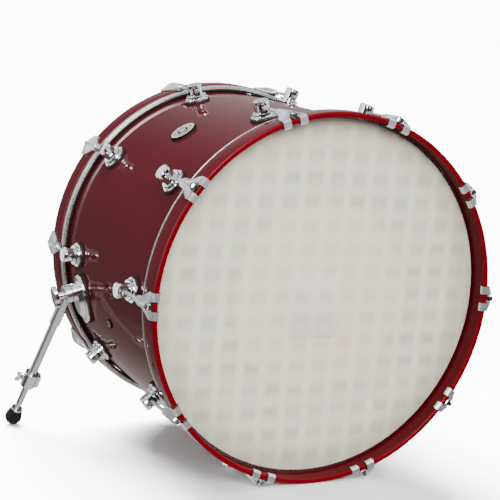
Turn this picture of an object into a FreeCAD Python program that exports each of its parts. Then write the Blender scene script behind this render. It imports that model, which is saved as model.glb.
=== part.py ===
import FreeCAD, Part
import os
from math import cos, radians, sin, sqrt
from FreeCAD import Vector

# Bass drum, 22 inch by 16 inch, lying on its side: mesh batter side towards -Y, front side towards +Y.
# Drum frame: drum axis along +Y, the plane of the batter hoop's front edge at y = 0, +Z up.
# The finished drum is tilted so that the front end stands off the floor.

# ---- driving sizes, mm ----
shell_od = 556.0
shell_wall = 7.5
shell_depth = 406.4
hoop_over_shell = 13.0
hoop_wall = 8.6
hoop_depth = 38.5
head_recess = 32.0
film = 0.5
collar_gap = 0.4
collar_film = 1.0
flesh_depth = 8.0
flesh_inset = 1.8
tilt_deg = 4.5
lugs_per_side = 10
rod_dia = 5.5
rod_stand_off = 5.4
lug_setback = 107.0
spur_angle = 105.0
spur_setback = 119.0
spur_splay_deg = 22.2
spur_forward_deg = 28.3
foot_dome_r = 14.5

# ---- clearances, mm ----
run_fit = 0.05
free_gap = 0.35
seat_gap = 0.3
liner = 1.0

# ---- derived sizes ----
shell_r = shell_od / 2
shell_in = shell_r - shell_wall
hoop_r = shell_r + hoop_over_shell
hoop_in = hoop_r - hoop_wall
hoop_edge = 2.6
overall = shell_depth + 2 * head_recess
rod_r = rod_dia / 2
rod_pitch_r = hoop_r + rod_stand_off
collar_in = shell_r + collar_gap
collar_out = collar_in + collar_film
lug_step = 360.0 / lugs_per_side
lug_angles = [lug_step * (k + 0.5) for k in range(lugs_per_side)]

# ---- lug sizes ----
gasket_t = 3.0
gasket_r = 21.5
lug_base_r = 20.0
lug_base_t = 3.6
lug_neck_r = 15.0
lug_neck_t = 1.8
lug_ring_r = 16.6
lug_ring_t = 3.2
lug_waist_r = 11.4
lug_cap_r = 12.3
lug_wall = 2.6
lug_height = rod_pitch_r - shell_r + 12.2
window_w = 9.4
nut_r = 6.2
nut_len = 15.0
lug_screw_r = 2.5
lug_screw_x = 12.4
screw_head_r = 4.6
screw_head_t = 3.0
screw_washer_r = 6.4
screw_washer_t = 1.2

# ---- claw sizes ----
claw_t = 2.0
claw_prong = 12.6
claw_gap = 15.0
claw_tail_y = 48.0
claw_seat_y = 7.0
claw_lip = 5.0
key_head_r = 4.7
key_flange_t = 2.4
key_square = 6.2
key_square_len = 7.4
rod_washer_r = 5.3
rod_washer_t = 1.2
pocket_r = 5.9

# ---- trim sizes ----
badge_r = 21.8
badge_y = overall / 2 - 5.0
badge_angle = -36.0
badge_gasket_t = 1.6
badge_t = 3.4
vent_angle = -108.0
vent_r = 7.6
vent_bore_r = 3.9
vent_sleeve_r = 5.2
disc_r = 150.0
disc_t = 8.0
patch_w = 90.0
patch_h = 105.0
patch_t = 0.6
patch_x = -9.0
patch_z = -12.0

# ---- spur sizes ----
plate_len = 84.0
plate_w = 48.0
plate_t = 5.0
cowl_t = 7.0
spur_gasket_t = 2.5
boss_r = 15.0
boss_top = 21.0
boss_shift = 16.0
knuckle_r = 15.5
knuckle_t = 12.0
bolt_r = 4.0
handle_len = 38.0
handle_w = 26.0
handle_t = 8.0
handle_stand = 11.0
post_r = 6.0
sleeve_r = 9.4
sleeve_end = 64.0
tube_r = 7.4
tube_bore_r = 5.75
tube_start = 34.0
clamp_r = 12.5
clamp_len = 30.0
clamp_start = 178.0
inner_r = tube_bore_r - run_fit
inner_start = 108.0
stud_r = 4.0
collar_t = 4.0
spike_len = 9.0
spike_cover = 1.5
spur_screw_r = 2.9
spur_screw_x = plate_len / 2 - 11


def revolve(points):
    """Solid of revolution about the drum axis from (radius, y) points."""
    wire = Part.makePolygon([Vector(r, y, 0) for r, y in points + points[:1]])
    return Part.Face(wire).revolve(Vector(0, 0, 0), Vector(0, 1, 0), 360)


def cylinder(r, start, direction, length):
    return Part.makeCylinder(r, length, start, direction)


def box(x0, x1, y0, y1, z0, z1):
    return Part.makeBox(x1 - x0, y1 - y0, z1 - z0, Vector(x0, y0, z0))


def around(shape, angle):
    """Turn a piece made at the top of the drum to an angle, clockwise seen from the batter side."""
    turned = shape.copy()
    turned.rotate(Vector(0, 0, 0), Vector(0, 1, 0), angle)
    return turned


def at_lugs(shape):
    return [around(shape, a) for a in lug_angles]


def front_copy(shape):
    """The same piece on the front side, mirrored about the middle of the shell."""
    return shape.mirror(Vector(0, overall / 2, 0), Vector(0, 1, 0))


def right_copy(shape):
    return shape.mirror(Vector(0, 0, 0), Vector(1, 0, 0))


def fillet_where(shape, radius, test):
    edges = [e for e in shape.Edges if test(e)]
    return shape.makeFillet(radius, edges)


def rounded_ring(r_in, r_out, y0, y1, edge):
    ring = revolve([(r_in, y0), (r_out, y0), (r_out, y1), (r_in, y1)])
    return fillet_where(ring, edge, lambda e: e.Closed and e.Length > 10)


def radial_hole(r, x, y, angle, depth_from, depth_to):
    return around(cylinder(r, Vector(x, y, depth_from), Vector(0, 0, 1), depth_to - depth_from), angle)


# ---- shell, hoops and heads ----
def lug_screw_spots(y):
    return [(x, y) for x in (-lug_screw_x, lug_screw_x)]


def spur_screw_spots(y):
    return [(x, y) for x in (-spur_screw_x, spur_screw_x)]


def make_shell():
    y0 = head_recess
    y1 = overall - head_recess
    edge = shell_wall - 2.5
    profile = [(shell_in, y0 + edge), (shell_r - 2.0, y0), (shell_r, y0 + 2.0),
               (shell_r, y1 - 2.0), (shell_r - 2.0, y1), (shell_in, y1 - edge)]
    shell = revolve(profile)
    holes = []
    for y in (lug_setback, overall - lug_setback):
        for angle in lug_angles:
            for x, _ in lug_screw_spots(y):
                holes.append(radial_hole(lug_screw_r + 0.4, x, y, angle, shell_in - 6, shell_r + 6))
    for side in (-1, 1):
        for x, y in spur_screw_spots(overall - spur_setback):
            holes.append(radial_hole(spur_screw_r + 0.3, x, y, side * spur_angle, shell_in - 6, shell_r + 6))
    holes.append(radial_hole(vent_sleeve_r, 0, overall / 2, vent_angle, shell_in - 6, shell_r + 6))
    return shell.cut(Part.makeCompound(holes))


def make_hoop():
    return rounded_ring(hoop_in, hoop_r, 0, hoop_depth, hoop_edge)


def make_flesh_hoop():
    y0 = hoop_depth
    y1 = y0 + flesh_depth
    r_out = hoop_r - flesh_inset
    mid = (y0 + y1) / 2
    return revolve([(collar_out, y0), (r_out - 0.8, y0), (r_out, y0 + 0.8), (r_out, mid - 0.5),
                    (r_out - 0.8, mid), (r_out, mid + 0.5), (r_out, y1 - 1.2), (r_out - 1.2, y1),
                    (collar_out, y1)])


def make_head():
    """Film over the bearing edge with its collar down into the flesh hoop."""
    y0 = head_recess - film
    y_end = hoop_depth + flesh_depth - 1.0
    return revolve([(0, y0), (collar_out - 2.0, y0), (collar_out, y0 + 2.0), (collar_out, y_end),
                    (collar_in, y_end), (collar_in, head_recess + 1.6), (collar_in - 1.6, head_recess),
                    (0, head_recess)])


def make_damping_disc():
    disc = cylinder(disc_r, Vector(0, head_recess, 0), Vector(0, 1, 0), disc_t)
    return fillet_where(disc, 2.0, lambda e: e.Closed and e.CenterOfMass.y > head_recess + 1)


def make_beater_patch():
    y1 = head_recess - film
    patch = box(patch_x - patch_w / 2, patch_x + patch_w / 2, y1 - patch_t, y1,
                patch_z - patch_h / 2, patch_z + patch_h / 2)
    return fillet_where(patch, 12.0, lambda e: abs(e.tangentAt(e.FirstParameter).y) > 0.9)


# ---- lugs, made at the top of the drum on the batter side ----
def on_shell(shape):
    """Cut a piece to the outside of the shell."""
    inner = cylinder(shell_r, Vector(0, -50, 0), Vector(0, 1, 0), overall + 100)
    return shape.cut(inner)


def make_lug_gasket():
    centre = Vector(0, lug_setback, shell_r - 3)
    gasket = on_shell(cylinder(gasket_r, centre, Vector(0, 0, 1), 3 + gasket_t))
    holes = [cylinder(lug_screw_r + 0.3, Vector(x, y, shell_r - 4), Vector(0, 0, 1), 12)
             for x, y in lug_screw_spots(lug_setback)]
    return gasket.cut(Part.makeCompound(holes))


def make_lug():
    z0 = shell_r + gasket_t
    z1 = z0 + lug_base_t
    z2 = z1 + lug_neck_t
    z3 = z2 + lug_ring_t
    top = shell_r + lug_height
    outline = [(0, z0), (lug_base_r, z0), (lug_base_r, z1 - 1.2), (lug_base_r - 1.2, z1), (lug_neck_r, z1),
               (lug_neck_r, z2), (lug_ring_r - 0.8, z2), (lug_ring_r, z2 + 0.8), (lug_ring_r, z3 - 0.8),
               (lug_ring_r - 0.8, z3), (lug_waist_r, z3), (lug_waist_r, z3 + 2), (lug_cap_r, top - 6),
               (lug_cap_r, top - 1.6), (lug_cap_r - 1.6, top), (0, top + 0.5)]
    wire = Part.makePolygon([Vector(r, 0, z) for r, z in outline + outline[:1]])
    body = Part.Face(wire).revolve(Vector(0, 0, 0), Vector(0, 0, 1), 360)
    inner = nut_len / 2
    pocket = box(-inner, inner, -nut_r - 0.4, nut_r + 0.4, z2, top - lug_wall)
    window = box(-window_w / 2, window_w / 2, -30, 30, rod_pitch_r - 7.0, rod_pitch_r + 6.4)
    window = fillet_where(window, 1.5, lambda e: abs(e.tangentAt(e.FirstParameter).y) > 0.9)
    body = body.cut(pocket.fuse(window))
    body.translate(Vector(0, lug_setback, 0))
    screw_bore = 2.4 + lug_base_t + lug_neck_t
    holes = [cylinder(lug_screw_r + run_fit, Vector(x, y, z0 - 1), Vector(0, 0, 1), screw_bore)
             for x, y in lug_screw_spots(lug_setback)]
    return body.cut(Part.makeCompound(holes))


def make_swivel_nut():
    nut = cylinder(nut_r, Vector(-nut_len / 2, lug_setback, rod_pitch_r), Vector(1, 0, 0), nut_len)
    bore = cylinder(rod_r + run_fit, Vector(0, lug_setback - 20, rod_pitch_r), Vector(0, 1, 0), 40)
    return nut.cut(bore)


def make_lug_screws():
    """Screws from inside the shell, each with its flat washer, clear of the curved wall."""
    out = []
    for x, y in lug_screw_spots(lug_setback):
        seat = sqrt(shell_in ** 2 - (abs(x) + screw_washer_r) ** 2)
        low = seat - screw_washer_t
        tip = shell_r + gasket_t + lug_base_t + lug_neck_t
        shank = cylinder(lug_screw_r, Vector(x, y, low), Vector(0, 0, 1), tip - low)
        washer = cylinder(screw_washer_r, Vector(x, y, low), Vector(0, 0, 1), screw_washer_t)
        head = cylinder(screw_head_r, Vector(x, y, low - screw_head_t), Vector(0, 0, 1), screw_head_t)
        out.append(shank.fuse(washer).fuse(head).removeSplitter())
    return out


# ---- claws, liners and tension rods ----
def hoop_wrap(inner_off, outer_off, y_back, lip):
    """Hook-shaped ring sector over the hoop's front edge, between two offsets from the hoop."""
    r_top = hoop_r + outer_off
    r_low = hoop_in - outer_off
    e = min(outer_off + 0.6, 3.0)
    points = [(hoop_r + inner_off, y_back), (r_top, y_back), (r_top, e - outer_off), (r_top - e, -outer_off),
              (r_low + e, -outer_off), (r_low, e - outer_off), (r_low, lip), (hoop_in - inner_off, lip),
              (hoop_in - inner_off, -inner_off), (hoop_r + inner_off, -inner_off)]
    span = 12.0
    wire = Part.makePolygon([Vector(0, y, r) for r, y in points + points[:1]])
    sector = Part.Face(wire).revolve(Vector(0, 0, 0), Vector(0, 1, 0), span)
    sector.rotate(Vector(0, 0, 0), Vector(0, 1, 0), -span / 2)
    return sector


def prong_boxes(extra):
    x0 = claw_gap / 2 - extra
    x1 = claw_gap / 2 + claw_prong + extra
    z0 = hoop_in - 10
    z1 = hoop_r + 20
    return [box(x0, x1, -20, 60, z0, z1), box(-x1, -x0, -20, 60, z0, z1)]


def claw_section(y, half_w, crown, skirt):
    """Closed section across the claw: flat underside, crowned top."""
    base = hoop_r - 2.0
    top = hoop_r + liner + crown
    edge = hoop_r + liner + skirt
    flank = (edge + top) / 2 + 0.3
    spline = Part.BSplineCurve()
    spline.interpolate([Vector(share * half_w, y, z) for share, z in
                        ((-1, edge - 1.0), (-0.86, edge), (-0.45, flank), (0, top), (0.45, flank),
                         (0.86, edge), (1, edge - 1.0))])
    a = Vector(-half_w, y, base)
    b = Vector(half_w, y, base)
    return Part.Wire([spline.toShape(), Part.makeLine(Vector(half_w, y, edge - 1.0), b), Part.makeLine(b, a),
                      Part.makeLine(a, Vector(-half_w, y, edge - 1.0))])


def make_claw():
    crown = rod_stand_off - liner + rod_r + run_fit + 2.6
    half = claw_gap / 2 + claw_prong
    sections = [claw_section(claw_tail_y, 6.6, crown - 0.6, crown - 4.5),
                claw_section(claw_tail_y - 10, 8.0, crown, crown - 4.6),
                claw_section(claw_tail_y - 22, 12.5, crown + 0.2, 2.8),
                claw_section(18, 17.0, crown + 0.3, 2.5),
                claw_section(9, half - 0.9, crown, 2.4),
                claw_section(0, half, crown - 1.2, 2.4)]
    body = Part.makeLoft(sections, True, False)
    body = body.cut(cylinder(hoop_r + liner, Vector(0, -20, 0), Vector(0, 1, 0), 100))
    hooks = hoop_wrap(liner, liner + claw_t, 12.0, claw_lip)
    for part in prong_boxes(0):
        body = body.fuse(hooks.common(part))
    rod_hole = cylinder(rod_r + free_gap, Vector(0, -20, rod_pitch_r), Vector(0, 1, 0), 100)
    pocket = cylinder(pocket_r, Vector(0, -20, rod_pitch_r), Vector(0, 1, 0), 20 + claw_seat_y)
    notch_r = claw_gap / 2
    notch = cylinder(notch_r, Vector(0, -2.0, hoop_in - 10), Vector(0, 0, 1), 60)
    notch = notch.fuse(box(-notch_r, notch_r, -20, -2.0, hoop_in - 10, hoop_r + 50))
    return body.cut(rod_hole.fuse(pocket).fuse(notch)).removeSplitter()


def make_liners():
    wrap = hoop_wrap(0, liner, 12.0, claw_lip + 0.8)
    return [wrap.common(part) for part in prong_boxes(0.4)]


def make_rod_washer():
    seat = Vector(0, claw_seat_y - rod_washer_t, rod_pitch_r)
    washer = cylinder(rod_washer_r, seat, Vector(0, 1, 0), rod_washer_t)
    return washer.cut(cylinder(rod_r + free_gap, Vector(0, 0, rod_pitch_r), Vector(0, 1, 0), 20))


def make_rod():
    flange_back = claw_seat_y - rod_washer_t - seat_gap
    flange_front = flange_back - key_flange_t
    tip = lug_setback + nut_r + 4.0
    centre = Vector(0, 0, rod_pitch_r)
    along = Vector(0, 1, 0)
    shank = cylinder(rod_r, centre + along * (flange_back - 0.5), along, tip - flange_back + 0.5)
    shank = fillet_where(shank, 0.8, lambda e: e.Closed and e.CenterOfMass.y > tip - 1)
    flange = cylinder(key_head_r, centre + along * flange_front, along, key_flange_t)
    half = key_square / 2
    square = box(-half, half, flange_front - key_square_len + 1.0, flange_front,
                 rod_pitch_r - half, rod_pitch_r + half)
    return shank.fuse(flange).fuse(square).removeSplitter()


# ---- trim ----
def make_badge_gasket():
    puck = cylinder(badge_r + 0.8, Vector(0, badge_y, shell_r - 4), Vector(0, 0, 1), 4 + badge_gasket_t)
    return around(on_shell(puck), badge_angle)


def make_badge():
    z0 = shell_r + badge_gasket_t
    top = z0 + badge_t
    outline = [(0, z0), (badge_r, z0), (badge_r, top - 1.6), (badge_r - 1.4, top), (badge_r - 5.0, top),
               (badge_r - 5.8, top - 1.0), (badge_r - 9.0, top - 1.0), (badge_r - 9.6, top - 0.3),
               (badge_r - 12.5, top - 0.3), (badge_r - 13.3, top - 1.0), (7.2, top - 1.0), (6.4, top), (0, top)]
    wire = Part.makePolygon([Vector(r, 0, z) for r, z in outline + outline[:1]])
    body = Part.Face(wire).revolve(Vector(0, 0, 0), Vector(0, 0, 1), 360)
    body.translate(Vector(0, badge_y, 0))
    return around(body, badge_angle)


def make_vent_grommet():
    """Flanged eyelet through the shell with a rolled inner end."""
    y = overall / 2
    flange = on_shell(cylinder(vent_r, Vector(0, y, shell_r - 2), Vector(0, 0, 1), 4.2))
    flange = flange.fuse(cylinder(vent_sleeve_r, Vector(0, y, shell_in - 2.2), Vector(0, 0, 1), shell_wall + 3))
    bore = cylinder(vent_bore_r, Vector(0, y, shell_in - 10), Vector(0, 0, 1), 40)
    return around(flange.cut(bore).removeSplitter(), vent_angle)


# ---- spurs, made at the top of the drum and turned to the left side, the right one is mirrored ----
def ellipse_plate(length, width, z0, z1):
    ellipse = Part.Ellipse(Vector(0, 0, z0), length / 2, width / 2)
    return Part.Face(Part.Wire(ellipse.toShape())).extrude(Vector(0, 0, z1 - z0))


def spur_place(shape):
    """From a piece centred on the fold axis to the left side of the shell."""
    moved = shape.copy()
    moved.translate(Vector(0, overall - spur_setback, 0))
    return around(moved, -spur_angle)


def make_spur_gasket():
    pad = ellipse_plate(plate_len + 3, plate_w + 3, shell_r - 5, shell_r + spur_gasket_t)
    pad.translate(Vector(0, overall - spur_setback, 0))
    pad = on_shell(pad)
    holes = [cylinder(spur_screw_r + 0.2, Vector(x, y, shell_r - 10), Vector(0, 0, 1), 30)
             for x, y in spur_screw_spots(overall - spur_setback)]
    return around(pad.cut(Part.makeCompound(holes)), -spur_angle)


def make_spur_bracket():
    z0 = shell_r + spur_gasket_t
    plate = ellipse_plate(plate_len, plate_w, z0, z0 + plate_t)
    plate = fillet_where(plate, 2.4, lambda e: e.CenterOfMass.z > z0 + plate_t - 0.1)
    low = Part.Ellipse(Vector(0, 0, z0 + plate_t - 0.5), plate_len / 2 - 8, plate_w / 2 - 5)
    high = Part.Ellipse(Vector(0, 0, z0 + plate_t + cowl_t), 24.0, 16.0)
    cowl = Part.makeLoft([Part.Wire(low.toShape()), Part.Wire(high.toShape())], True, True)
    boss = cylinder(boss_r, Vector(boss_shift, 0, z0 + plate_t), Vector(0, 0, 1),
                    shell_r + boss_top - z0 - plate_t)
    body = plate.fuse(cowl).fuse(boss)
    bore = cylinder(bolt_r + run_fit, Vector(boss_shift, 0, z0 + 2), Vector(0, 0, 1), 60)
    body = body.cut(bore)
    holes = [cylinder(spur_screw_r + run_fit, Vector(x, y, z0 - 1), Vector(0, 0, 1), plate_t - 0.4)
             for x, y in spur_screw_spots(0)]
    return spur_place(body.cut(Part.makeCompound(holes)).removeSplitter())


def make_spur_screws():
    out = []
    for x, y in spur_screw_spots(0):
        seat = sqrt(shell_in ** 2 - (abs(x) + 9.0) ** 2)
        tip = shell_r + spur_gasket_t + plate_t - 1.6
        shank = cylinder(spur_screw_r, Vector(x, y, seat - 2), Vector(0, 0, 1), tip - seat + 2)
        washer = cylinder(9.0, Vector(x, y, seat - 2), Vector(0, 0, 1), 2)
        head = cylinder(5.2, Vector(x, y, seat - 6), Vector(0, 0, 1), 4)
        out.append(spur_place(shank.fuse(washer).fuse(head).removeSplitter()))
    return out


splay = radians(spur_splay_deg)
forward = radians(spur_forward_deg)
leg_dir = Vector(-cos(splay) * cos(forward), cos(splay) * sin(forward), sin(splay))
pivot_z = shell_r + boss_top + free_gap + knuckle_t / 2
pivot = Vector(boss_shift, 0, pivot_z)


def to_world_height(v):
    return v.z * cos(radians(tilt_deg)) + v.y * sin(radians(tilt_deg))


def floor_level():
    """Height of the floor in the drum frame's tilted direction, under the hoop's rounded front edge."""
    t = radians(tilt_deg)
    return -(hoop_r - hoop_edge) * cos(t) + hoop_edge * sin(t) - hoop_edge


def turned_point(v):
    a = radians(-spur_angle)
    return Vector(v.x * cos(a) + v.z * sin(a), v.y, -v.x * sin(a) + v.z * cos(a))


def foot_reach():
    """Distance along the leg from the pivot to the centre of the foot's dome, so that it rests on the floor."""
    base = turned_point(pivot) + Vector(0, overall - spur_setback, 0)
    fall = to_world_height(turned_point(leg_dir))
    return (floor_level() + foot_dome_r - to_world_height(base)) / fall


reach = foot_reach()
foot_top = reach - 17.0
inner_end = foot_top - collar_t - 10.0


def leg_point(t):
    return pivot + leg_dir * t


def leg_cylinder(r, start, end):
    return cylinder(r, leg_point(start), leg_dir, end - start)


def leg_side():
    """Direction square to the leg, pointing away from the drum."""
    side = Vector(0, 0.35, 1)
    side = side - leg_dir * side.dot(leg_dir)
    return side.normalize()


def make_leg_sleeve():
    knuckle = cylinder(knuckle_r, Vector(boss_shift, 0, pivot_z - knuckle_t / 2), Vector(0, 0, 1), knuckle_t)
    knuckle = fillet_where(knuckle, 1.5, lambda e: e.Closed)
    cone = Part.makeCone(7.5, sleeve_r, 22.0, leg_point(6.0), leg_dir)
    sleeve = leg_cylinder(sleeve_r, 27.5, sleeve_end)
    body = knuckle.fuse(cone).fuse(sleeve)
    below = box(-80, 80, -80, 80, pivot_z - knuckle_t / 2 - 60, pivot_z - knuckle_t / 2)
    body = body.cut(below)
    body = body.cut(leg_cylinder(tube_r, tube_start, sleeve_end + 5))
    bore = cylinder(bolt_r + run_fit, Vector(boss_shift, 0, pivot_z - 30), Vector(0, 0, 1), 60)
    post_room = cylinder(post_r + free_gap, Vector(boss_shift, 0, pivot_z + knuckle_t / 2), Vector(0, 0, 1), 30)
    return body.cut(bore).cut(post_room).removeSplitter()


def make_leg_tube():
    tube = leg_cylinder(tube_r, tube_start, clamp_start + 8)
    return tube.cut(leg_cylinder(tube_bore_r, tube_start + 3, clamp_start + 20))


def make_clamp():
    end = clamp_start + clamp_len
    body = leg_cylinder(clamp_r, clamp_start, end)
    body = fillet_where(body, 1.2, lambda e: e.Closed)
    side = leg_side()
    across = leg_dir.cross(side)
    ears = box(-6.0, 6.0, -4.5, 17.0, 3.0, clamp_len - 3.0)
    ears = fillet_where(ears, 2.0, lambda e: abs(e.tangentAt(e.FirstParameter).x) > 0.9)
    frame = FreeCAD.Matrix(across.x, -side.x, leg_dir.x, 0, across.y, -side.y, leg_dir.y, 0,
                           across.z, -side.z, leg_dir.z, 0, 0, 0, 0, 1)
    ears = ears.transformGeometry(frame)
    ears.translate(leg_point(clamp_start))
    body = body.fuse(ears)
    slot = box(-0.8, 0.8, 0.0, 30.0, -5.0, clamp_len + 5.0).transformGeometry(frame)
    slot.translate(leg_point(clamp_start))
    screw_pad = cylinder(4.5, leg_point(clamp_start + clamp_len / 2) + side * 9.0, side, 5.0)
    body = body.fuse(screw_pad).cut(slot)
    body = body.cut(leg_cylinder(tube_r, clamp_start - 1, clamp_start + 8))
    body = body.cut(leg_cylinder(inner_r + run_fit, clamp_start - 1, end + 1))
    screw_bore = cylinder(2.5 + run_fit, leg_point(clamp_start + clamp_len / 2) + side * 6.0, side, 20.0)
    return body.cut(screw_bore).removeSplitter()


def make_clamp_screw():
    side = leg_side()
    mid = leg_point(clamp_start + clamp_len / 2)
    shank = cylinder(2.5, mid + side * (inner_r + free_gap), side, 14.4)
    hub = cylinder(4.0, mid + side * (14.0 + free_gap), side, 5.0)
    wings = box(-9.5, 9.5, -1.1, 1.1, 2.0, 11.0)
    wings = fillet_where(wings, 1.0, lambda e: abs(e.tangentAt(e.FirstParameter).x) > 0.9)
    wings = wings.cut(cylinder(5.2, Vector(0, -5, 13.5), Vector(0, 1, 0), 10))
    across = leg_dir.cross(side)
    frame = FreeCAD.Matrix(leg_dir.x, across.x, side.x, 0, leg_dir.y, across.y, side.y, 0,
                           leg_dir.z, across.z, side.z, 0, 0, 0, 0, 1)
    wings = wings.transformGeometry(frame)
    wings.translate(mid + side * (14.0 + free_gap))
    return shank.fuse(hub).fuse(wings).removeSplitter()


def make_inner_leg():
    rod = leg_cylinder(inner_r, inner_start, inner_end)
    rod = fillet_where(rod, 1.0, lambda e: e.Closed)
    sole = reach + foot_dome_r
    stud = leg_cylinder(stud_r, inner_end - 2, sole - spike_len - spike_cover)
    spike = Part.makeCone(stud_r, 0.6, spike_len, leg_point(sole - spike_len - spike_cover), leg_dir)
    return rod.fuse(stud).fuse(spike).removeSplitter()


def make_foot():
    """Rubber foot, narrower at the collar, domed underneath and bored through for the spike."""
    upper = Part.makeCone(10.6, foot_dome_r, 15.0, leg_point(foot_top), leg_dir)
    middle = leg_cylinder(foot_dome_r, foot_top + 15.0, reach)
    dome = Part.makeSphere(foot_dome_r, leg_point(reach))
    bore = leg_cylinder(stud_r + free_gap, foot_top - 5, reach + foot_dome_r + 5)
    return upper.fuse(middle).fuse(dome).cut(bore).removeSplitter()


def make_foot_collar():
    collar = leg_cylinder(10.2, foot_top - collar_t, foot_top)
    collar = fillet_where(collar, 1.0, lambda e: e.Closed)
    return collar.cut(leg_cylinder(stud_r + run_fit, foot_top - 10, foot_top + 5))


def make_lock_handle():
    """Bolt on the fold axis with its post and two-winged grip, clear of the sleeve all the way round."""
    z_low = shell_r + spur_gasket_t + 4.0
    z_post = pivot_z + knuckle_t / 2 + free_gap
    z_grip = z_post + handle_stand
    bolt = cylinder(bolt_r, Vector(0, 0, z_low), Vector(0, 0, 1), z_post + 4.0 - z_low)
    post = cylinder(post_r, Vector(0, 0, z_post), Vector(0, 0, 1), handle_stand + 1.0)
    grip = ellipse_plate(handle_len, handle_w, z_grip, z_grip + handle_t)
    grip = fillet_where(grip, 2.2, lambda e: e.Closed)
    for side in (-1, 1):
        grip = grip.cut(cylinder(11.0, Vector(side * 10.0, side * 20.0, z_grip - 10), Vector(0, 0, 1), 30))
    made = bolt.fuse(post).fuse(grip).removeSplitter()
    made.translate(Vector(boss_shift, 0, 0))
    return made


# ---- placing and writing ----
def collect():
    nodes = {}
    nodes["shell"] = [make_shell()]
    hoop = make_hoop()
    nodes["batter_hoop"] = [hoop]
    nodes["front_hoop"] = [front_copy(hoop)]
    flesh = make_flesh_hoop()
    nodes["batter_flesh_hoop"] = [flesh]
    nodes["front_flesh_hoop"] = [front_copy(flesh)]
    head = make_head()
    nodes["batter_head"] = [head]
    nodes["front_head"] = [front_copy(head)]
    nodes["damping_disc"] = [make_damping_disc()]
    nodes["beater_patch"] = [make_beater_patch()]

    claw = make_claw()
    nodes["batter_claws"] = at_lugs(claw)
    nodes["front_claws"] = at_lugs(front_copy(claw))
    lug = make_lug()
    nodes["batter_lugs"] = at_lugs(lug)
    nodes["front_lugs"] = at_lugs(front_copy(lug))
    for name, made in (("claw_liners", make_liners()), ("rod_washers", [make_rod_washer()]),
                       ("lug_gaskets", [make_lug_gasket()]), ("swivel_nuts", [make_swivel_nut()]),
                       ("lug_screws", make_lug_screws())):
        nodes[name] = []
        for piece in made:
            nodes[name] += at_lugs(piece) + at_lugs(front_copy(piece))
    rod = make_rod()
    for k, angle in enumerate(lug_angles):
        nodes["batter_rod_%02d" % (k + 1)] = [around(rod, angle)]
        nodes["front_rod_%02d" % (k + 1)] = [around(front_copy(rod), angle)]

    nodes["badge_gasket"] = [make_badge_gasket()]
    nodes["badge"] = [make_badge()]
    nodes["vent_grommet"] = [make_vent_grommet()]

    for name, made in (("spur_gaskets", [make_spur_gasket()]), ("spur_brackets", [make_spur_bracket()]),
                       ("spur_screws", make_spur_screws())):
        nodes[name] = made + [right_copy(piece) for piece in made]
    for name, made in (("leg_sleeve", make_leg_sleeve()), ("leg_tube", make_leg_tube()),
                       ("leg_clamp", make_clamp()), ("clamp_screw", make_clamp_screw()),
                       ("inner_leg", make_inner_leg()), ("foot", make_foot()),
                       ("foot_collar", make_foot_collar()), ("lock_handle", make_lock_handle())):
        placed = spur_place(made)
        nodes["left_" + name] = [placed]
        nodes["right_" + name] = [right_copy(placed)]
    return nodes


def stand_up(nodes):
    """Tilt the drum, set it on the floor and centre it front to back."""
    shapes = {}
    for name, solids in nodes.items():
        shape = Part.makeCompound(solids) if len(solids) > 1 else solids[0]
        shape.rotate(Vector(0, 0, 0), Vector(1, 0, 0), tilt_deg)
        shape.translate(Vector(0, 0, -floor_level()))
        shapes[name] = shape
    bounds = [s.optimalBoundingBox(False, False) for s in shapes.values()]
    low = min(b.YMin for b in bounds)
    high = max(b.YMax for b in bounds)
    for shape in shapes.values():
        shape.translate(Vector(0, -(low + high) / 2, 0))
    return shapes


os.makedirs("parts", exist_ok=True)
for name, shape in stand_up(collect()).items():
    shape.exportStep("parts/" + name + ".step")
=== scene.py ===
from math import cos, pi, radians, sin
import bmesh
import bpy
from mathutils import Matrix, Vector


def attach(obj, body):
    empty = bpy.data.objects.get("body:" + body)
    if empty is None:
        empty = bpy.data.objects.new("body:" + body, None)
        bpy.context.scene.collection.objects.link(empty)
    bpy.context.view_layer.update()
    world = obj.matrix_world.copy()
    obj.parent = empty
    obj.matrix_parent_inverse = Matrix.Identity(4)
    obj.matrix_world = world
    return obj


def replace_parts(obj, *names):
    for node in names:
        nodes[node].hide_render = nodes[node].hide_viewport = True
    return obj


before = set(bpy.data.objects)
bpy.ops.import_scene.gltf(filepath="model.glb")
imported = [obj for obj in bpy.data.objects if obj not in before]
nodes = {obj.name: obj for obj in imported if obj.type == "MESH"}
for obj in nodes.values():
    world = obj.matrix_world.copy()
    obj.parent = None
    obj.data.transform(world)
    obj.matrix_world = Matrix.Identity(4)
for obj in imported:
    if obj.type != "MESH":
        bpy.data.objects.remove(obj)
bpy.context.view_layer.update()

# ---- drum sizes, metres, in the drum frame: axis along +Y, batter hoop's front edge at y = 0 ----
SHELL_R = 0.278
SHELL_WALL = 0.0075
OVERALL = 0.4704
RECESS = 0.032
HOOP_R = 0.291
HOOP_WALL = 0.0086
HOOP_DEPTH = 0.0385
FLESH_DEPTH = 0.008
FLESH_INSET = 0.0018
FILM = 0.0005
COLLAR_R = 0.2794
DISC_R = 0.150
DISC_T = 0.008
PATCH = (0.090, 0.105)
PATCH_AT = (-0.009, -0.012)
VENT_R = 0.0052
VENT_ANGLE = -108.0
BADGE_ANGLE = -36.0
BADGE_Y = OVERALL / 2 - 0.005
TILT = 4.5
STAND = (0.0, -0.2436725, 0.289907)
SEGMENTS = 384
SHARP_ANGLE = 35.0
FACE_Y = RECESS - FILM
COLLAR_END = HOOP_DEPTH + FLESH_DEPTH - 0.001
HEAD_BEND = 0.002

to_row = Matrix.Translation(STAND) @ Matrix.Rotation(radians(TILT), 4, "X")


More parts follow.
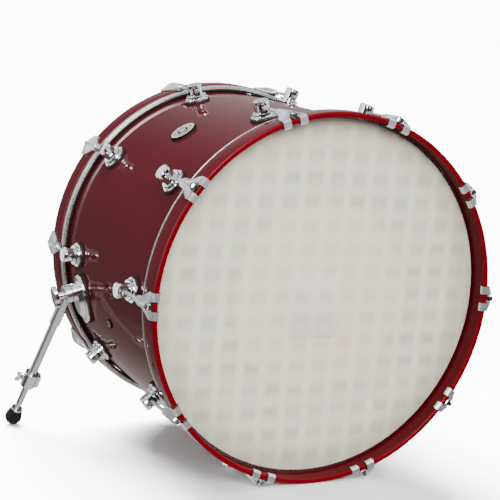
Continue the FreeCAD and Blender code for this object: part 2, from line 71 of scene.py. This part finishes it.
# ---- mesh helpers ----
def finish_piece(name, bm, mats):
    """Makes the mesh an object of the drum, in the row's frame, with its looks."""
    mesh = bpy.data.meshes.new(name)
    bmesh.ops.recalc_face_normals(bm, faces=bm.faces)
    bm.to_mesh(mesh)
    bm.free()
    for mat in mats:
        mesh.materials.append(mat)
    mesh.shade_smooth()
    mesh.set_sharp_from_angle(angle=radians(SHARP_ANGLE))
    obj = bpy.data.objects.new(name, mesh)
    bpy.context.scene.collection.objects.link(obj)
    obj.matrix_world = to_row
    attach(obj, "drum")
    return obj


def lathe(bm, profile, closed=True, segments=SEGMENTS, faces_mat=None):
    """Turns (radius, y) points about the drum axis; a point on the axis closes to one vertex."""
    rings = []
    for r, y in profile:
        if r < 1e-6:
            rings.append([bm.verts.new((0, y, 0))])
            continue
        turns = [2 * pi * k / segments for k in range(segments)]
        rings.append([bm.verts.new((r * sin(t), y, r * cos(t))) for t in turns])
    pairs = list(zip(range(len(rings) - 1), range(1, len(rings))))
    if closed:
        pairs.append((len(rings) - 1, 0))
    for index, (i, j) in enumerate(pairs):
        a, b = rings[i], rings[j]
        for k in range(segments):
            n = (k + 1) % segments
            if len(a) == 1:
                face = bm.faces.new((a[0], b[k], b[n]))
            elif len(b) == 1:
                face = bm.faces.new((a[k], b[0], a[n]))
            else:
                face = bm.faces.new((a[k], b[k], b[n], a[n]))
            if faces_mat:
                face.material_index = faces_mat[index]


def arc(cx, cy, r, start, end, steps=6):
    """Points of an arc in the (radius, y) plane, angles in degrees from +radius towards +y."""
    out = []
    for k in range(steps + 1):
        a = radians(start + (end - start) * k / steps)
        out.append((cx + r * cos(a), cy + r * sin(a)))
    return out


def front_profile(profile):
    """The same profile at the front (far) end of the drum."""
    return [(r, OVERALL - y) for r, y in profile]


# ---- material helpers ----
class Nodes:
    """Short names for building a node tree; the textures run on coords."""
    def __init__(self, tree, coords):
        self.tree = tree
        self.coords = tree.nodes.new("ShaderNodeTexCoord").outputs[coords]

    def link(self, a, b):
        self.tree.links.new(a, b)

    def put(self, socket, value):
        if hasattr(value, "is_output"):
            self.link(value, socket)
        else:
            socket.default_value = value

    def scaled(self, scale):
        node = self.tree.nodes.new("ShaderNodeMapping")
        self.link(self.coords, node.inputs["Vector"])
        node.inputs["Scale"].default_value = scale
        return node.outputs["Vector"]

    def noise(self, scale, detail=3.0, vector=None, rough=0.5):
        node = self.tree.nodes.new("ShaderNodeTexNoise")
        self.link(vector or self.coords, node.inputs["Vector"])
        node.inputs["Scale"].default_value = scale
        node.inputs["Detail"].default_value = detail
        node.inputs["Roughness"].default_value = rough
        return node.outputs["Fac"]

    def math(self, op, a, b=0.0, c=0.0, clamp=False):
        node = self.tree.nodes.new("ShaderNodeMath")
        node.operation = op
        node.use_clamp = clamp
        for socket, value in zip(node.inputs, (a, b, c)):
            self.put(socket, value)
        return node.outputs[0]

    def vector_math(self, op, *values):
        node = self.tree.nodes.new("ShaderNodeVectorMath")
        node.operation = op
        for socket, value in zip(node.inputs, values):
            self.put(socket, value)
        return node.outputs["Value" if op in ("LENGTH", "DOT_PRODUCT") else "Vector"]

    def fit(self, value, a, b, c, d, smooth=False):
        """Maps a..b onto c..d, clamped."""
        node = self.tree.nodes.new("ShaderNodeMapRange")
        node.interpolation_type = "SMOOTHSTEP" if smooth else "LINEAR"
        for socket, item in zip(node.inputs, (value, a, b, c, d)):
            self.put(socket, item)
        return node.outputs["Result"]

    def mix(self, fac, a, b):
        node = self.tree.nodes.new("ShaderNodeMix")
        node.data_type = "RGBA"
        self.put(node.inputs["Factor"], fac)
        self.put(node.inputs[6], a)
        self.put(node.inputs[7], b)
        return node.outputs[2]

    def split(self):
        node = self.tree.nodes.new("ShaderNodeSeparateXYZ")
        self.link(self.coords, node.inputs[0])
        return node.outputs


class Look(Nodes):
    """A material with its Principled shader."""
    def __init__(self, name):
        self.mat = bpy.data.materials.new(name)
        self.mat.use_nodes = True
        super().__init__(self.mat.node_tree, "Object")
        self.bsdf = self.tree.nodes["Principled BSDF"]

    def set(self, **values):
        for key, value in values.items():
            self.put(self.bsdf.inputs[key.replace("_", " ")], value)

    def colour(self, value):
        self.put(self.bsdf.inputs["Base Color"], value)

    def rough(self, value):
        self.put(self.bsdf.inputs["Roughness"], value)

    def bump(self, height, strength, distance):
        node = self.tree.nodes.new("ShaderNodeBump")
        self.link(height, node.inputs["Height"])
        node.inputs["Strength"].default_value = strength
        node.inputs["Distance"].default_value = distance
        self.link(node.outputs["Normal"], self.bsdf.inputs["Normal"])


def rgb(r, g, b):
    return (r, g, b, 1.0)


def lacquer(name, deep, bright, coat):
    """Clear lacquer over a stained figured veneer, the grain running round the drum."""
    look = Look(name)
    grain = look.noise(1.0, 5.0, look.scaled((3.0, 120.0, 3.0)), 0.55)
    cloud = look.noise(6.0, 2.0)
    fac = look.math("MULTIPLY_ADD", grain, 0.3, look.math("MULTIPLY", cloud, 0.7))
    look.colour(look.mix(look.fit(fac, 0.25, 0.75, 0.0, 1.0, True), deep, bright))
    look.rough(look.fit(grain, 0.3, 0.7, 0.38, 0.44))
    look.set(IOR=1.5, Specular_IOR_Level=0.0, Coat_Weight=coat, Coat_Roughness=0.012, Coat_IOR=1.5)
    look.bump(look.noise(260.0, 2.0), 0.02, 0.0003)
    return look.mat


def chrome(name, tint=(0.86, 0.87, 0.90), rough=(0.03, 0.07), peel=0.008):
    """Plated metal; rough is its range from the smoothest to the dullest spots."""
    look = Look(name)
    film = look.noise(60.0, 4.0)
    fine = look.noise(900.0, 3.0)
    look.colour(look.mix(film, rgb(*(c * 0.9 for c in tint)), rgb(*tint)))
    look.rough(look.fit(fine, 0.3, 0.7, rough[0], rough[1]))
    look.set(Metallic=1.0)
    look.bump(film, peel, 0.0004)
    return look.mat


def rubber(name, base=0.006, rough=0.5):
    """Black rubber or plastic with a fine grain and a little dust."""
    look = Look(name)
    grain = look.noise(1400.0, 4.0)
    dust = look.noise(45.0, 3.0)
    look.colour(look.mix(dust, rgb(base, base, base * 1.05), rgb(base * 2.2, base * 2.2, base * 2.3)))
    look.set(Specular_IOR_Level=0.25)
    look.rough(look.fit(dust, 0.3, 0.7, rough, rough + 0.18))
    look.bump(grain, 0.25, 0.0002)
    return look.mat


def brushed(name, tint, rough, lines):
    """Metal drawn or turned: fine lines in one direction."""
    look = Look(name)
    streak = look.noise(1.0, 3.0, look.scaled(lines))
    look.colour(look.mix(streak, rgb(*(c * 0.78 for c in tint)), rgb(*tint)))
    look.rough(look.fit(streak, 0.3, 0.7, rough - 0.06, rough + 0.08))
    look.set(Metallic=1.0)
    look.bump(streak, 0.12, 0.0002)
    return look.mat


def weave(name, gap, warm, cool, tone):
    """Two-ply woven mesh: a plaid of closer and more open squares, each with its threads.
    Where the pad lies behind, the open squares and threads take the pad's warm colour painted through;
    elsewhere the squares take the cool colour, on the batter head a painted shade of the drum's dark
    inside. The head darkens towards its rim as painted shade."""
    look = Look(name)
    x, y, z = look.split()

    def box_wave(value, pitch, shift, half, soft):
        phase = look.math("FRACT", look.math("MULTIPLY_ADD", value, 1.0 / pitch, shift))
        off = look.math("ABSOLUTE", look.math("SUBTRACT", phase, 0.5))
        return look.fit(off, half - soft, half + soft, 1.0, 0.0, True)

    def threads(value, pitch):
        wave = look.math("SINE", look.math("MULTIPLY", value, 2 * pi / pitch))
        return look.math("MULTIPLY_ADD", wave, 0.5, 0.5)

    wobble = look.noise(14.0, 2.0)
    xs = look.math("MULTIPLY_ADD", wobble, 0.006, x)
    zs = look.math("MULTIPLY_ADD", wobble, 0.006, z)
    across = box_wave(xs, 0.0392, 0.18, 0.33, 0.13)
    down = box_wave(zs, 0.0366, 0.35, 0.24, 0.19)
    square = look.math("MULTIPLY", across, down)
    fine_x = threads(x, 0.0036)
    fine_z = threads(z, 0.0034)
    patchy = look.fit(look.noise(30.0, 3.0), 0.36, 0.64, 0.25, 0.9, True)
    lines = look.math("ADD", look.math("MULTIPLY", fine_x, patchy),
                      look.math("MULTIPLY", fine_z, look.math("SUBTRACT", 1.0, patchy)))
    lines = look.math("POWER", lines, 1.5)
    strength = look.fit(look.noise(17.0, 2.0), 0.35, 0.65, 0.65, 1.0, True)
    open_part = look.math("MULTIPLY", look.math("MULTIPLY", square, strength),
                          look.math("MULTIPLY_ADD", lines, 0.75, 0.30))
    squares = look.math("ADD", look.math("MULTIPLY", x, x), look.math("MULTIPLY", z, z))
    radius = look.math("SQRT", squares)
    # pad seen through: its warm colour painted into squares and threads; away from it the cool colour,
    # painted shade from the drum's inside
    on_pad = look.fit(radius, DISC_R - 0.010, DISC_R + 0.004, 1.0, 0.0, True)
    behind = look.mix(look.math("MULTIPLY", on_pad, tone), cool, warm)
    lit_gap = look.mix(look.math("MULTIPLY", on_pad, 0.40 * tone), gap, rgb(0.86, 0.79, 0.62))
    row_gap = look.math("MULTIPLY", across, look.math("SUBTRACT", 1.0, down))
    faint = look.math("MULTIPLY", look.math("MULTIPLY_ADD", row_gap, 0.22, 0.06), fine_x)
    dark_part = look.math("ADD", look.math("MULTIPLY", open_part, 0.85), faint, clamp=True)
    base = look.mix(dark_part, lit_gap, behind)
    # painted shade: the head darkens towards its rim, in the hoop's shade
    rim = look.fit(radius, 0.215, 0.280, 0.0, 0.46, True)
    look.colour(look.mix(rim, base, rgb(0.30, 0.26, 0.19)))
    look.rough(look.fit(lines, 0.0, 1.0, 0.62, 0.5))
    cloth = look.math("ADD", threads(x, 0.0012), threads(z, 0.0012))
    look.bump(cloth, 0.30, 0.0001)
    return look.mat


def coated(name, deep, pale):
    """Sprayed coating on a plastic film."""
    look = Look(name)
    spray = look.noise(1100.0, 5.0, rough=0.7)
    cloud = look.noise(9.0, 2.0)
    look.colour(look.mix(cloud, deep, pale))
    look.rough(look.fit(spray, 0.3, 0.7, 0.42, 0.62))
    look.bump(spray, 0.35, 0.0002)
    return look.mat


def foam(name):
    """Open-cell foam."""
    look = Look(name)
    cells = look.noise(700.0, 6.0, rough=0.75)
    look.colour(look.mix(cells, rgb(0.42, 0.34, 0.24), rgb(0.62, 0.52, 0.38)))
    look.rough(0.9)
    look.bump(cells, 0.8, 0.0006)
    return look.mat


def plies(name):
    """Bare maple plies inside the shell."""
    look = Look(name)
    grain = look.noise(1.0, 6.0, look.scaled((14.0, 260.0, 14.0)), 0.6)
    look.colour(look.mix(grain, rgb(0.36, 0.22, 0.12), rgb(0.58, 0.41, 0.25)))
    look.rough(look.fit(grain, 0.3, 0.7, 0.4, 0.6))
    look.bump(grain, 0.15, 0.0003)
    return look.mat


wine = lacquer("wine_lacquer", rgb(0.066, 0.0066, 0.0098), rgb(0.077, 0.0077, 0.0114), 0.50)
hoop_wine = lacquer("hoop_wine_lacquer",
                    rgb(0.074, 0.0056, 0.0092), rgb(0.085, 0.0066, 0.0106), 0.6)
# brighter, more saturated copy of the hoop lacquer: painted light on the hoops' front edges
hoop_edge_lit = lacquer("hoop_edge_lit_lacquer", rgb(0.115, 0.0004, 0.0040), rgb(0.145, 0.0008, 0.0062), 0.22)
# darker copy of the hoop lacquer: painted shade on the hoops' inner walls
hoop_inner_shaded = lacquer("hoop_inner_shaded_lacquer",
                     rgb(0.062, 0.0014, 0.0034), rgb(0.078, 0.0020, 0.0048), 0.22)
bright_chrome = chrome("bright_chrome")
pearl_chrome = chrome("pearl_chrome", (0.86, 0.87, 0.89), (0.30, 0.38), 0.01)
soft_chrome = chrome("satin_chrome", (0.70, 0.71, 0.74), (0.18, 0.26), 0.04)
turned = brushed("turned_aluminium", (0.84, 0.83, 0.81), 0.30, (240.0, 900.0, 240.0))
zinc = brushed("zinc_plate", (0.55, 0.55, 0.57), 0.36, (900.0, 900.0, 60.0))
black = rubber("black_rubber")
boot = rubber("boot_rubber", 0.003, 0.45)
nylon = rubber("black_nylon", 0.01, 0.35)
# near-black for the flesh hoops' face towards the shell and their bore
inward_dark = rubber("flesh_inward_dark", 0.004, 0.5)
# batter head: its cool colour is painted shade from the drum's inside, and its rim darkening is painted
# shade
warm_weave = weave("mesh_weave_look", rgb(0.76, 0.73, 0.60),
                   rgb(0.66, 0.51, 0.30), rgb(0.32, 0.32, 0.28), 1.0)
cool_weave = weave("patch_weave_look", rgb(0.75, 0.73, 0.62),
                   rgb(0.60, 0.55, 0.42), rgb(0.46, 0.47, 0.44), 0.25)
film_look = coated("coated_film_look", rgb(0.010, 0.010, 0.011), rgb(0.018, 0.018, 0.019))
foam_look = foam("foam_look")
maple = plies("maple_plies")

# ---- shell: fine lathe with bearing edges and the vent bored through ----
y0, y1 = RECESS, OVERALL - RECESS
inner = SHELL_R - SHELL_WALL
edge = SHELL_WALL - 0.0025
lip, lip_mid = 0.002, 0.0006
profile = [(inner, y0 + edge), (SHELL_R - lip, y0),
           (SHELL_R - lip_mid, y0 + lip_mid), (SHELL_R, y0 + lip)]
profile += [(SHELL_R, y0 + (y1 - y0) * k / 12) for k in range(1, 12)]
profile += [(SHELL_R, y1 - lip), (SHELL_R - lip_mid, y1 - lip_mid),
            (SHELL_R - lip, y1), (inner, y1 - edge)]
bm = bmesh.new()
lathe(bm, profile, faces_mat=[1] + [0] * 16 + [1, 1])
shell = finish_piece("shell_body", bm, [wine, maple])

drill = bmesh.new()
a = radians(VENT_ANGLE)
out = Vector((sin(a), 0, cos(a)))
spin = out.to_track_quat("Z", "Y").to_matrix().to_4x4()
vent_at = out * (SHELL_R - 0.004) + Vector((0, OVERALL / 2, 0))
bmesh.ops.create_cone(drill, cap_ends=True, segments=48, radius1=VENT_R, radius2=VENT_R,
                      depth=0.03, matrix=Matrix.Translation(vent_at) @ spin)
drill_mesh = bpy.data.meshes.new("drill")
drill.to_mesh(drill_mesh)
drill.free()
drill_obj = bpy.data.objects.new("drill", drill_mesh)
drill_obj.matrix_world = to_row
bpy.context.scene.collection.objects.link(drill_obj)
cut = shell.modifiers.new("vent", "BOOLEAN")
cut.object = drill_obj
cut.operation = "DIFFERENCE"
cut.solver = "EXACT"
bpy.context.view_layer.update()
bored = bpy.data.meshes.new_from_object(shell.evaluated_get(bpy.context.evaluated_depsgraph_get()))
shell.modifiers.clear()
shell.data = bored
bored.name = "shell_body"
bpy.data.objects.remove(drill_obj)
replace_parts(shell, "shell")

# ---- hoops, with rounded edges: wine outside; a brighter, more saturated copy of the lacquer on the front edge is painted light, a darker copy on the inner wall is painted shade ----
r_in, r_out, soft = HOOP_R - HOOP_WALL, HOOP_R, 0.0026
wall_y = HOOP_DEPTH / 2
hoop = ([(r_out, wall_y)] + arc(r_out - soft, soft, soft, 0, -90) + arc(r_in + soft, soft, soft, -90, -180)
        + [(r_in, wall_y)]
        + arc(r_in + soft, HOOP_DEPTH - soft, soft, 180, 90, 3)
        + arc(r_out - soft, HOOP_DEPTH - soft, soft, 90, 0, 3))
# the front-edge faces take the painted-light copy, the inner-wall faces the painted-shade copy
hoop_faces = [0] * 4 + [1] * 9 + [2] * 3 + [0] * 8
for name, prof in (("batter_hoop", hoop), ("front_hoop", front_profile(hoop))):
    bm = bmesh.new()
    lathe(bm, prof, faces_mat=hoop_faces)
    mats = [hoop_wine, hoop_edge_lit, hoop_inner_shaded]
    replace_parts(finish_piece(name + "_turned", bm, mats), name)

# ---- flesh hoops: rolled aluminium with a groove; the face towards the shell and the bore are painted near-black ----
f0, f1 = HOOP_DEPTH + 0.0001, HOOP_DEPTH + FLESH_DEPTH
fr = HOOP_R - FLESH_INSET
mid = (f0 + f1) / 2
bore = COLLAR_R + 0.0002
groove, groove_floor, rim = 0.0006, 0.0002, 0.0012
flesh = [(bore, f0), (fr - 0.0008, f0), (fr - 0.0002, f0 + 0.0002), (fr, f0 + 0.0008),
         (fr, mid - groove), (fr - groove, mid - groove_floor),
         (fr - groove, mid + groove_floor), (fr, mid + groove)]
flesh += arc(fr - rim, f1 - rim, rim, 0, 90, 4)
flesh += [(fr - 0.0034, f1), (fr - 0.0037, f1 - 0.0003), (fr - 0.0040, f1),
          (fr - 0.0060, f1), (bore, f1)]
for name, prof in (("batter_flesh_hoop", flesh), ("front_flesh_hoop", front_profile(flesh))):
    bm = bmesh.new()
    lathe(bm, prof, faces_mat=[0] * (len(prof) - 2) + [1, 1])
    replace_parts(finish_piece(name + "_turned", bm, [turned, inward_dark]), name)


# ---- heads: one stretched film each, over the bearing edge and down the collar ----
head_flat = [(k / 20, FACE_Y) for k in range(6)]
head_bend = arc(COLLAR_R - HEAD_BEND, FACE_Y + HEAD_BEND, HEAD_BEND, -90, 0, 6)
head_turn = head_flat + head_bend + [(COLLAR_R, COLLAR_END)]
for name, flip, look, slot in (("batter_head", False, warm_weave, "mesh_weave"),
                               ("front_head", True, film_look, "coated_film")):
    bm = bmesh.new()
    lathe(bm, front_profile(head_turn) if flip else head_turn, closed=False)
    head = finish_piece(name + "_film", bm, [look])
    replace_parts(head, name)

# ---- foam disc behind the batter head, softly rounded and a little uneven ----
d0, d1 = RECESS + 0.0003, RECESS + DISC_T
soft_front, soft_back = 0.0012, 0.003
pillow = [(0.0, d0)] + [(DISC_R * k / 12, d0) for k in range(1, 12)]
pillow += arc(DISC_R - soft_front, d0 + soft_front, soft_front, -90, 0, 4)
pillow += arc(DISC_R - soft_back, d1 - soft_back, soft_back, 0, 90, 5)
pillow += [(DISC_R * k / 12, d1) for k in range(11, 0, -1)] + [(0.0, d1)]
bm = bmesh.new()
lathe(bm, pillow, closed=False, segments=192)
for v in bm.verts:
    if v.co.y > d0 + 0.004:
        r = (v.co.x ** 2 + v.co.z ** 2) ** 0.5
        wave = 1 + sin(v.co.x * 90) * cos(v.co.z * 75)
        v.co.y -= 0.0004 * wave * (0.4 + 0.6 * r / DISC_R)
pad = finish_piece("damping_pad", bm, [foam_look])
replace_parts(pad, "damping_disc")

# ---- beater patch: thin cloth, its corners rounded, stuck on the head ----
w, h = PATCH[0] / 2, PATCH[1] / 2
px, pz = PATCH_AT
corner = 0.012
outline = []
for cx, cz, start in ((w - corner, h - corner, 0), (-w + corner, h - corner, 90),
                      (-w + corner, -h + corner, 180), (w - corner, -h + corner, 270)):
    for k in range(9):
        t = radians(start + 90 * k / 8)
        outline.append((px + cx + corner * cos(t), pz + cz + corner * sin(t)))
bm = bmesh.new()
layers = []
for shrink, y in ((1.0, FACE_Y - 0.00005), (1.0, FACE_Y - 0.0004), (0.994, FACE_Y - 0.0006)):
    layers.append([bm.verts.new((px + (x - px) * shrink, y, pz + (z - pz) * shrink))
                   for x, z in outline])
for a_ring, b_ring in zip(layers, layers[1:]):
    for k in range(len(outline)):
        n = (k + 1) % len(outline)
        bm.faces.new((a_ring[k], a_ring[n], b_ring[n], b_ring[k]))
bm.faces.new(layers[0])
bm.faces.new(layers[-1])
patch = finish_piece("beater_patch_cloth", bm, [cool_weave])
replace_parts(patch, "beater_patch")


# ---- badge and vent: turned metal with dark rings ----
def ring_look(name, angle, along, bands):
    """Dark rings, each from one radius to another, about a point on the shell."""
    look = Look(name)
    a = radians(angle)
    axis = (to_row.to_3x3() @ Vector((sin(a), 0, cos(a)))).normalized()
    spot = to_row @ Vector((sin(a) * SHELL_R, along, cos(a) * SHELL_R))
    shift = look.vector_math("SUBTRACT", look.coords, spot)
    reach = look.vector_math("LENGTH", look.vector_math("CROSS_PRODUCT", shift, axis))
    soft = 0.0003
    dark = 0.0
    for low, high in bands:
        band = look.math("MULTIPLY", look.fit(reach, low - soft, low + soft, 0.0, 1.0, True),
                         look.fit(reach, high - soft, high + soft, 1.0, 0.0, True))
        dark = look.math("MAXIMUM", dark, band)
    scratch = look.noise(500.0, 3.0)
    bright = look.math("SUBTRACT", 1.0, dark)
    metal = look.mix(scratch, rgb(0.56, 0.56, 0.54), rgb(0.70, 0.70, 0.68))
    look.colour(look.mix(dark, metal, rgb(0.006, 0.006, 0.007)))
    look.set(Metallic=bright, Specular_IOR_Level=look.math("MULTIPLY", bright, 0.5))
    look.rough(look.fit(scratch, 0.3, 0.7, 0.20, 0.34))
    look.bump(scratch, 0.05, 0.0003)
    return look.mat


badge_look = ring_look("badge_rings", BADGE_ANGLE, BADGE_Y,
                       [(0.0056, 0.0096), (0.0122, 0.0134), (0.0152, 0.0162), (0.0206, 0.03)])
vent_look = ring_look("vent_rings", VENT_ANGLE, OVERALL / 2, [(0.0, 0.0038), (0.0056, 0.02)])

# ---- rods: chrome with a rolled thread on the half that runs into the lug ----
THREAD_FROM = 0.058
THREAD_PITCH = 0.001


def threaded_rod():
    look = Look("threaded_rod")
    _, y, z = look.split()
    tilt = radians(TILT)
    along = look.math("ADD", look.math("MULTIPLY", y, cos(tilt)), look.math("MULTIPLY", z, sin(tilt)))
    along = look.math("SUBTRACT", along, STAND[1] * cos(tilt) + STAND[2] * sin(tilt))
    from_middle = look.math("ABSOLUTE", look.math("SUBTRACT", along, OVERALL / 2))
    from_end = look.math("SUBTRACT", OVERALL / 2, from_middle)
    threaded = look.fit(from_end, THREAD_FROM, THREAD_FROM + 0.002, 0.0, 1.0)
    turns = look.math("SINE", look.math("MULTIPLY", along, 2 * pi / THREAD_PITCH))
    film = look.noise(90.0, 3.0)
    look.colour(look.mix(film, rgb(0.72, 0.73, 0.76), rgb(0.82, 0.83, 0.86)))
    look.rough(look.fit(threaded, 0.0, 1.0, 0.08, 0.22))
    look.set(Metallic=1.0)
    look.bump(look.math("MULTIPLY", turns, threaded), 0.7, 0.0003)
    return look.mat


rod_look = threaded_rod()

# ---- looks of the CAD nodes that stay ----
kept = {
    "batter_claws": pearl_chrome, "front_claws": pearl_chrome, "batter_lugs": bright_chrome,
    "front_lugs": bright_chrome, "vent_grommet": vent_look, "spur_brackets": bright_chrome,
    "claw_liners": black, "lug_gaskets": black, "badge_gasket": black, "spur_gaskets": black,
    "swivel_nuts": zinc, "lug_screws": zinc, "spur_screws": zinc, "rod_washers": nylon, "badge": badge_look,
}
for side in ("left_", "right_"):
    kept[side + "leg_sleeve"] = soft_chrome
    kept[side + "leg_tube"] = soft_chrome
    kept[side + "inner_leg"] = soft_chrome
    kept[side + "foot"] = boot
    for part in ("leg_clamp", "clamp_screw", "foot_collar", "lock_handle"):
        kept[side + part] = bright_chrome
for side in ("batter", "front"):
    for k in range(1, 11):
        kept["%s_rod_%02d" % (side, k)] = rod_look
for name, mat in kept.items():
    mesh = nodes[name].data
    mesh.materials.clear()
    mesh.materials.append(mat)

# ---- stage: white floor and backdrop, seen by the camera alone ----
FLOOR_RADIANCE = 12.0
FLOOR_BASE = 0.9
SUN_LEAN = 38


def stage_mat(name, radiance, base):
    look = Look(name)
    dim = base * 0.98
    look.colour(look.mix(look.noise(3.0), rgb(base, base, base), rgb(dim, dim, dim)))
    look.rough(0.9)
    look.set(Specular_IOR_Level=0.0)
    if radiance:
        look.set(Emission_Color=rgb(1, 1, 1), Emission_Strength=radiance)
    return look.mat


def stage_piece(name, bm, mat):
    mesh = bpy.data.meshes.new(name)
    bm.to_mesh(mesh)
    bm.free()
    mesh.materials.append(mat)
    obj = bpy.data.objects.new(name, mesh)
    bpy.context.scene.collection.objects.link(obj)
    obj.visible_diffuse = False
    obj.visible_glossy = False
    obj.visible_transmission = False
    obj.visible_shadow = False
    return obj


bm = bmesh.new()
bmesh.ops.create_circle(bm, cap_ends=True, segments=96, radius=38.0)
floor = stage_piece("floor", bm, stage_mat("floor_look", 0.0, FLOOR_BASE))
bm = bmesh.new()
bmesh.ops.create_uvsphere(bm, u_segments=96, v_segments=48, radius=40.0)
stage_piece("backdrop", bm, stage_mat("backdrop_look", FLOOR_RADIANCE, 0.0))

# floor light: reaches the floor alone, the drum still shades it
floor_only = bpy.data.collections.new("floor_only")
floor_only.objects.link(floor)
sun_data = bpy.data.lights.new("floor_sun", "SUN")
sun_data.energy = FLOOR_RADIANCE * pi / FLOOR_BASE / cos(radians(SUN_LEAN))
sun_data.angle = radians(50)
sun = bpy.data.objects.new("floor_sun", sun_data)
sun.rotation_euler = (radians(-SUN_LEAN), radians(4), 0)
bpy.context.scene.collection.objects.link(sun)
sun.light_linking.receiver_collection = floor_only


LIGHTS_AIM = (0, 0, 0.3)


def softbox(name, at, size, power):
    data = bpy.data.lights.new(name, "AREA")
    data.shape = "RECTANGLE"
    data.size, data.size_y = size
    data.energy = power
    obj = bpy.data.objects.new(name, data)
    obj.location = at
    obj.rotation_euler = (Vector(LIGHTS_AIM) - Vector(at)).to_track_quat("-Z", "Y").to_euler()
    bpy.context.scene.collection.objects.link(obj)
    obj.visible_camera = False
    return obj


softbox("key", (-0.8, -3.4, 1.9), (2.2, 1.6), 210)
softbox("strip", (-2.6, -1.2, 0.9), (0.3, 1.6), 14)
softbox("top", (-0.6, 0.1, 3.0), (1.6, 1.6), 60).visible_glossy = False

# metal light: panels behind the drum that only the bright metal picks up
metal_only = bpy.data.collections.new("metal_only")
for name, mat in kept.items():
    if mat in (pearl_chrome, bright_chrome, soft_chrome, rod_look, badge_look, vent_look):
        metal_only.objects.link(nodes[name])
for name, at, size, power in (("panel_left", (-1.5, 2.7, 0.2), (1.3, 1.0), 6.0),
                              ("panel_high", (-0.5, 2.6, 2.0), (1.6, 1.1), 8.0),
                              ("panel_right", (1.6, 2.4, 1.4), (1.0, 1.6), 6.0)):
    panel = softbox(name, at, size, power)
    panel.light_linking.receiver_collection = metal_only

# ---- room: bright panels with dark gaps, as the chrome shows ----
world = bpy.data.worlds.new("room")
bpy.context.scene.world = world
world.use_nodes = True
tree = world.node_tree
room = Nodes(tree, "Generated")
dx, dy, dz = room.split()


def card(aim, inner_deg, outer_deg, radiance):
    """A round soft panel in the room, seen in the direction it is aimed from."""
    facing = room.vector_math("DOT_PRODUCT", room.coords, Vector(aim).normalized())
    inner_cos, outer_cos = cos(radians(inner_deg)), cos(radians(outer_deg))
    return room.fit(facing, outer_cos, inner_cos, 0.0, radiance, True)


front = card((0.2, -0.95, 0.25), 34, 52, 1.4)
streak = room.math("ABSOLUTE", room.math("SUBTRACT", dz, 0.05))
front = room.math("MULTIPLY", front, room.fit(streak, 0.05, 0.09, 0.0, 1.0, True))
front = room.math("MULTIPLY", front, room.fit(dz, -0.14, -0.06, 0.0, 1.0, True))
back_side = room.fit(dy, 0.45, 0.75, 0.0, 1.0, True)
low_level = room.math("ADD", room.fit(dz, -0.27, -0.30, 0.0, 0.14, True),
                      room.fit(dz, -0.36, -0.50, 0.0, 0.75, True))
back_level = room.math("ADD", room.fit(dx, -0.20, 0.40, 0.16, 0.80, True), low_level)
value = room.math("MULTIPLY", back_side, back_level)
for panel in (front, card((-0.82, 0.30, 0.30), 24, 40, 1.7), card((0.9, -0.1, 0.3), 28, 44, 1.5),
              card((0.0, -0.15, 1.0), 26, 40, 1.0), card((0.0, -0.2, -1.0), 38, 62, 0.8)):
    value = room.math("MAXIMUM", value, panel)
height = room.fit(dz, -0.40, -0.20, 0.0, 1.0, True)
background = tree.nodes["Background"]
room.link(room.math("ADD", value, 0.06), background.inputs["Strength"])
room.link(room.mix(height, rgb(1.0, 0.90, 0.88), rgb(0.98, 0.99, 1.0)), background.inputs["Color"])

# ---- camera, fitted to the photograph ----
CAMERA_AT = Vector((-1.01287, -2.00481, 0.59745))
CAMERA_TO = Vector((-0.01397, 0.01312, 0.33833))
CAMERA_ROLL = 2.914
CAMERA_LENS = 96.96
cam_data = bpy.data.cameras.new("camera")
cam_data.lens = CAMERA_LENS
cam_data.sensor_width = 36.0
cam_data.clip_end = 200.0
cam = bpy.data.objects.new("camera", cam_data)
aim = (CAMERA_TO - CAMERA_AT).to_track_quat("-Z", "Y").to_matrix().to_4x4()
roll = Matrix.Rotation(radians(CAMERA_ROLL), 4, "Z")
cam.matrix_world = Matrix.Translation(CAMERA_AT) @ aim @ roll
bpy.context.scene.collection.objects.link(cam)
bpy.context.scene.camera = cam
